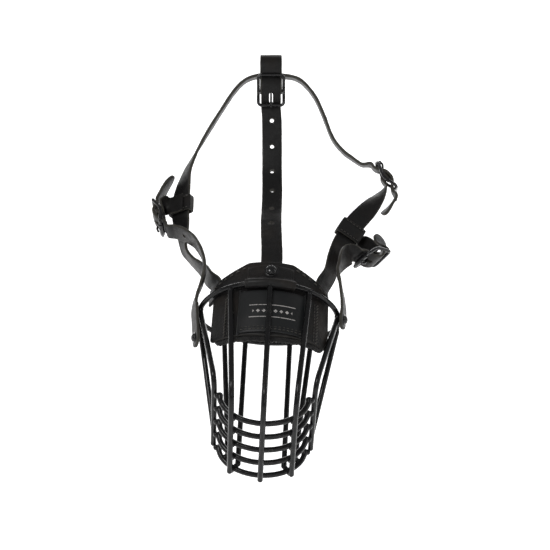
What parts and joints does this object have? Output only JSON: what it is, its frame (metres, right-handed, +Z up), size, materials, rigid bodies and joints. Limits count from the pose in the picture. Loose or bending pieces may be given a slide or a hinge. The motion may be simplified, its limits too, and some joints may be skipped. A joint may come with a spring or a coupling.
{
  "type": "basket muzzle",
  "caption": "Wire basket muzzle for a dog, with a felt-lined leather nose pad and a buckled leather head harness.",
  "frame": {"origin": "inside top of the crown loop, where a hook or peg carries the muzzle", "axes": "+Z up along the harness as it hangs, -Y towards the wearer's brow side that is seen from the front, +X to the right when looked at from the front"},
  "size_m": [0.2336, 0.2151, 0.3873],
  "materials": {
    "dipped_wire": "semi-gloss dip coating over steel wire",
    "leather_black": "satin, stitched",
    "leather_smooth": "smooth, semi-gloss",
    "felt_dark": "matt felt",
    "black_steel": "glossy black"
  },
  "bodies": {
    "harness_and_basket": {"rim_wire": "dipped_wire", "bridge_wire_left": "dipped_wire", "bridge_wire_centre": "dipped_wire", "bridge_wire_right": "dipped_wire", "upper_side_wire_left": "dipped_wire", "upper_side_wire_right": "dipped_wire", "lower_side_wire_left": "dipped_wire", "lower_side_wire_right": "dipped_wire", "chin_wire_left_outer": "dipped_wire", "chin_wire_left_inner": "dipped_wire", "chin_wire_centre": "dipped_wire", "chin_wire_right_inner": "dipped_wire", "chin_wire_right_outer": "dipped_wire", "nose_ring_1": "dipped_wire", "nose_ring_2": "dipped_wire", "nose_ring_3": "dipped_wire", "nose_ring_4": "dipped_wire", "nose_ring_5": "dipped_wire", "nose_pad_leather": "leather_black", "rim_tab": "leather_black", "crown_loop": "leather_black", "forehead_strap": "leather_black", "neck_strap": "leather_black", "right_side_strap": "leather_black", "left_cheek_strap": "leather_black", "right_cheek_strap": "leather_black", "left_cheek_chape": "leather_black", "right_cheek_chape": "leather_black", "left_patch": "leather_black", "right_patch": "leather_black", "nose_pad_panel": "leather_smooth", "nose_pad_felt": "felt_dark", "pad_rivet": "black_steel", "left_side_rivet": "black_steel", "right_side_rivet": "black_steel"},
    "crown_buckle": {"crown_buckle_frame": "black_steel", "crown_buckle_bar": "black_steel"},
    "crown_tongue": {"crown_buckle_tongue": "black_steel"},
    "neck_buckle": {"neck_buckle_frame": "black_steel", "neck_buckle_bar": "black_steel"},
    "neck_tongue": {"neck_buckle_tongue": "black_steel"},
    "neck_roller": {"neck_buckle_roller": "black_steel"},
    "left_cheek_buckle": {"left_cheek_buckle_frame": "black_steel", "left_cheek_buckle_bar": "black_steel"},
    "left_cheek_tongue": {"left_cheek_buckle_tongue": "black_steel"},
    "left_cheek_roller": {"left_cheek_buckle_roller": "black_steel"},
    "right_cheek_buckle": {"right_cheek_buckle_frame": "black_steel", "right_cheek_buckle_bar": "black_steel"},
    "right_cheek_tongue": {"right_cheek_buckle_tongue": "black_steel"},
    "right_cheek_roller": {"right_cheek_buckle_roller": "black_steel"}
  },
  "joints": [
    {"name": "crown_buckle_rock", "type": "hinge", "parent": "harness_and_basket", "child": "crown_buckle", "pos_m": [0.001, -0.0104, -0.034], "axis": [-1, 0, 0], "range_deg": [-3, 1]},
    {"name": "crown_tongue_lift", "type": "hinge", "parent": "crown_buckle", "child": "crown_tongue", "pos_m": [0.001, -0.0104, -0.034], "axis": [-1, 0, 0], "range_deg": [0, 14]},
    {"name": "neck_buckle_rock", "type": "hinge", "parent": "harness_and_basket", "child": "neck_buckle", "pos_m": [0.10861, -0.021, -0.11962], "axis": [0.0971, 0.9872, -0.1262], "range_deg": [-3, 3]},
    {"name": "neck_tongue_lift", "type": "hinge", "parent": "neck_buckle", "child": "neck_tongue", "pos_m": [0.10861, -0.021, -0.11962], "axis": [0.0971, 0.9872, -0.1262], "range_deg": [0, 14]},
    {"name": "neck_roller_turn", "type": "hinge", "parent": "neck_buckle", "child": "neck_roller", "pos_m": [0.10274, -0.01869, -0.1061], "axis": [0.0971, 0.9872, -0.1262], "continuous": true},
    {"name": "left_cheek_buckle_rock", "type": "hinge", "parent": "harness_and_basket", "child": "left_cheek_buckle", "pos_m": [-0.10167, -0.037, -0.15606], "axis": [0.0412, 0.8156, -0.5771], "range_deg": [-3, 3]},
    {"name": "left_cheek_tongue_lift", "type": "hinge", "parent": "left_cheek_buckle", "child": "left_cheek_tongue", "pos_m": [-0.10167, -0.037, -0.15606], "axis": [0.0412, 0.8156, -0.5771], "range_deg": [0, 14]},
    {"name": "left_cheek_roller_turn", "type": "hinge", "parent": "left_cheek_buckle", "child": "left_cheek_roller", "pos_m": [-0.10064, -0.04563, -0.16819], "axis": [0.0412, 0.8156, -0.5771], "continuous": true},
    {"name": "right_cheek_buckle_rock", "type": "hinge", "parent": "harness_and_basket", "child": "right_cheek_buckle", "pos_m": [0.09248, -0.06065, -0.1932], "axis": [0.534, -0.6345, 0.5589], "range_deg": [-3, 3]},
    {"name": "right_cheek_tongue_lift", "type": "hinge", "parent": "right_cheek_buckle", "child": "right_cheek_tongue", "pos_m": [0.09248, -0.06065, -0.1932], "axis": [0.534, -0.6345, 0.5589], "range_deg": [0, 14]},
    {"name": "right_cheek_roller_turn", "type": "hinge", "parent": "right_cheek_buckle", "child": "right_cheek_roller", "pos_m": [0.08315, -0.0717, -0.19685], "axis": [0.534, -0.6345, 0.5589], "continuous": true}
  ]
}
